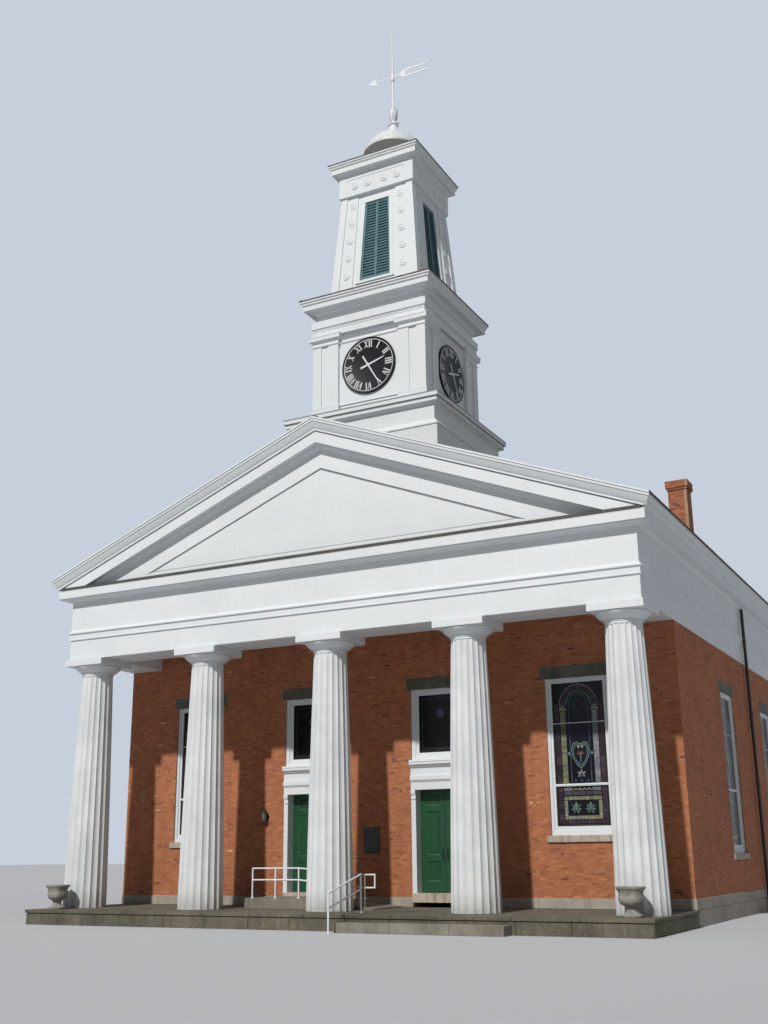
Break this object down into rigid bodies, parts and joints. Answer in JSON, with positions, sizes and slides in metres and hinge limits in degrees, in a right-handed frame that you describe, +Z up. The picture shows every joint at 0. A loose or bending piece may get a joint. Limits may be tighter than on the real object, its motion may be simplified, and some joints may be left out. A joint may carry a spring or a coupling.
{
  "type": "church",
  "caption": "Brick church with a columned portico, stepped clock tower with louvred belfry, and turning weathervane.",
  "frame": {"origin": "on the ground under the axis of the middle column, on the building's centreline", "axes": "+X to the right along the front, +Y into the building, +Z up"},
  "size_m": [20.034, 37.1339, 32.3608],
  "materials": {
    "brick": "weathered red brick",
    "base_stone": "dressed pale stone",
    "platform_stone": "weathered flagstone",
    "lintel_stone": "dark dressed stone",
    "urn_stone": "cast stone",
    "floor_boards": "worn boards",
    "white_wood": "white paint",
    "tower_trim": "white paint",
    "roofing": "grey-brown shingles",
    "louvre_paint": "faded teal paint",
    "door_paint": "green paint",
    "window_glass": "dark leaded glass",
    "dial_black": "black paint",
    "hand_white": "white paint",
    "white_metal": "white paint",
    "dark_metal": "dark bronze paint"
  },
  "bodies": {
    "building": {"belfry": "white_wood", "belfry_louvres": "louvre_paint", "capitals": "white_wood", "chimney": "brick", "clock_dials": "dial_black", "clock_stage": "white_wood", "columns": "white_wood", "dome": "tower_trim", "door_entablatures": "white_wood", "door_jambs": "white_wood", "door_landing": "platform_stone", "downspouts": "dark_metal", "finial": "white_metal", "floodlights": "dark_metal", "floor": "floor_boards", "foundation_ends": "base_stone", "foundation_sides": "base_stone", "front_cornice": "white_wood", "front_entablature": "white_wood", "front_step": "platform_stone", "front_wall_left": "brick", "front_wall_middle": "brick", "front_wall_over_doors": "brick", "front_wall_right": "brick", "handrails": "white_metal", "lintels": "lintel_stone", "plaque": "dark_metal", "platform": "platform_stone", "portico_ceiling": "white_wood", "raking_cornice_left": "white_wood", "raking_cornice_right": "white_wood", "rear_wall": "brick", "roof_left": "roofing", "roof_right": "roofing", "side_cornices": "white_wood", "side_entablatures": "white_wood", "side_walls": "brick", "sills": "base_stone", "tower_base": "white_wood", "tower_cornices": "tower_trim", "tower_roofs": "roofing", "tympanum": "white_wood", "upper_window_frames": "white_wood", "urns": "urn_stone", "wall_lanterns": "dark_metal", "window_frames": "white_wood", "window_glass": "window_glass"},
    "left_door_left_leaf": {"left_door_left_leaf": "door_paint"},
    "left_door_right_leaf": {"left_door_right_leaf": "door_paint"},
    "right_door_left_leaf": {"right_door_left_leaf": "door_paint"},
    "right_door_right_leaf": {"right_door_right_leaf": "door_paint"},
    "front_minute_hand": {"front_minute_hand": "hand_white"},
    "front_hour_hand": {"front_hour_hand": "hand_white"},
    "right_minute_hand": {"right_minute_hand": "hand_white"},
    "right_hour_hand": {"right_hour_hand": "hand_white"},
    "rear_minute_hand": {"rear_minute_hand": "hand_white"},
    "rear_hour_hand": {"rear_hour_hand": "hand_white"},
    "left_minute_hand": {"left_minute_hand": "hand_white"},
    "left_hour_hand": {"left_hour_hand": "hand_white"},
    "weathervane": {"weathervane": "white_metal"}
  },
  "joints": [
    {"name": "left_door_left_leaf_hinge", "type": "hinge", "parent": "building", "child": "left_door_left_leaf", "pos_m": [-3.0067, 2.915, 0.813], "axis": [0, 0, 1], "range_deg": [0, 90]},
    {"name": "left_door_right_leaf_hinge", "type": "hinge", "parent": "building", "child": "left_door_right_leaf", "pos_m": [-1.4533, 2.915, 0.813], "axis": [0, 0, -1], "range_deg": [0, 90]},
    {"name": "right_door_left_leaf_hinge", "type": "hinge", "parent": "building", "child": "right_door_left_leaf", "pos_m": [1.4533, 2.915, 0.813], "axis": [0, 0, 1], "range_deg": [0, 90]},
    {"name": "right_door_right_leaf_hinge", "type": "hinge", "parent": "building", "child": "right_door_right_leaf", "pos_m": [3.0067, 2.915, 0.813], "axis": [0, 0, -1], "range_deg": [0, 90]},
    {"name": "front_minute_turn", "type": "hinge", "parent": "building", "child": "front_minute_hand", "pos_m": [0, 2.408, 17.64078], "axis": [0, 1, 0], "continuous": true},
    {"name": "front_hour_turn", "type": "hinge", "parent": "building", "child": "front_hour_hand", "pos_m": [0, 2.434, 17.64078], "axis": [0, 1, 0], "continuous": true},
    {"name": "right_minute_turn", "type": "hinge", "parent": "building", "child": "right_minute_hand", "pos_m": [2.146, 4.554, 17.64078], "axis": [-1, 0, 0], "continuous": true},
    {"name": "right_hour_turn", "type": "hinge", "parent": "building", "child": "right_hour_hand", "pos_m": [2.12, 4.554, 17.64078], "axis": [-1, 0, 0], "continuous": true},
    {"name": "rear_minute_turn", "type": "hinge", "parent": "building", "child": "rear_minute_hand", "pos_m": [0, 6.7, 17.64078], "axis": [0, -1, 0], "continuous": true},
    {"name": "rear_hour_turn", "type": "hinge", "parent": "building", "child": "rear_hour_hand", "pos_m": [0, 6.674, 17.64078], "axis": [0, -1, 0], "continuous": true},
    {"name": "left_minute_turn", "type": "hinge", "parent": "building", "child": "left_minute_hand", "pos_m": [-2.146, 4.554, 17.64078], "axis": [1, 0, 0], "continuous": true},
    {"name": "left_hour_turn", "type": "hinge", "parent": "building", "child": "left_hour_hand", "pos_m": [-2.12, 4.554, 17.64078], "axis": [1, 0, 0], "continuous": true},
    {"name": "weathervane_turn", "type": "hinge", "parent": "building", "child": "weathervane", "pos_m": [0, 4.554, 30.32078], "axis": [0, 0, 1], "continuous": true}
  ],
  "couplings": [
    {"joint": "front_hour_turn", "follows": "front_minute_turn", "ratio": 0.083333},
    {"joint": "right_minute_turn", "follows": "front_minute_turn", "ratio": 1},
    {"joint": "right_hour_turn", "follows": "front_minute_turn", "ratio": 0.083333},
    {"joint": "rear_minute_turn", "follows": "front_minute_turn", "ratio": 1},
    {"joint": "rear_hour_turn", "follows": "front_minute_turn", "ratio": 0.083333},
    {"joint": "left_minute_turn", "follows": "front_minute_turn", "ratio": 1},
    {"joint": "left_hour_turn", "follows": "front_minute_turn", "ratio": 0.083333}
  ]
}
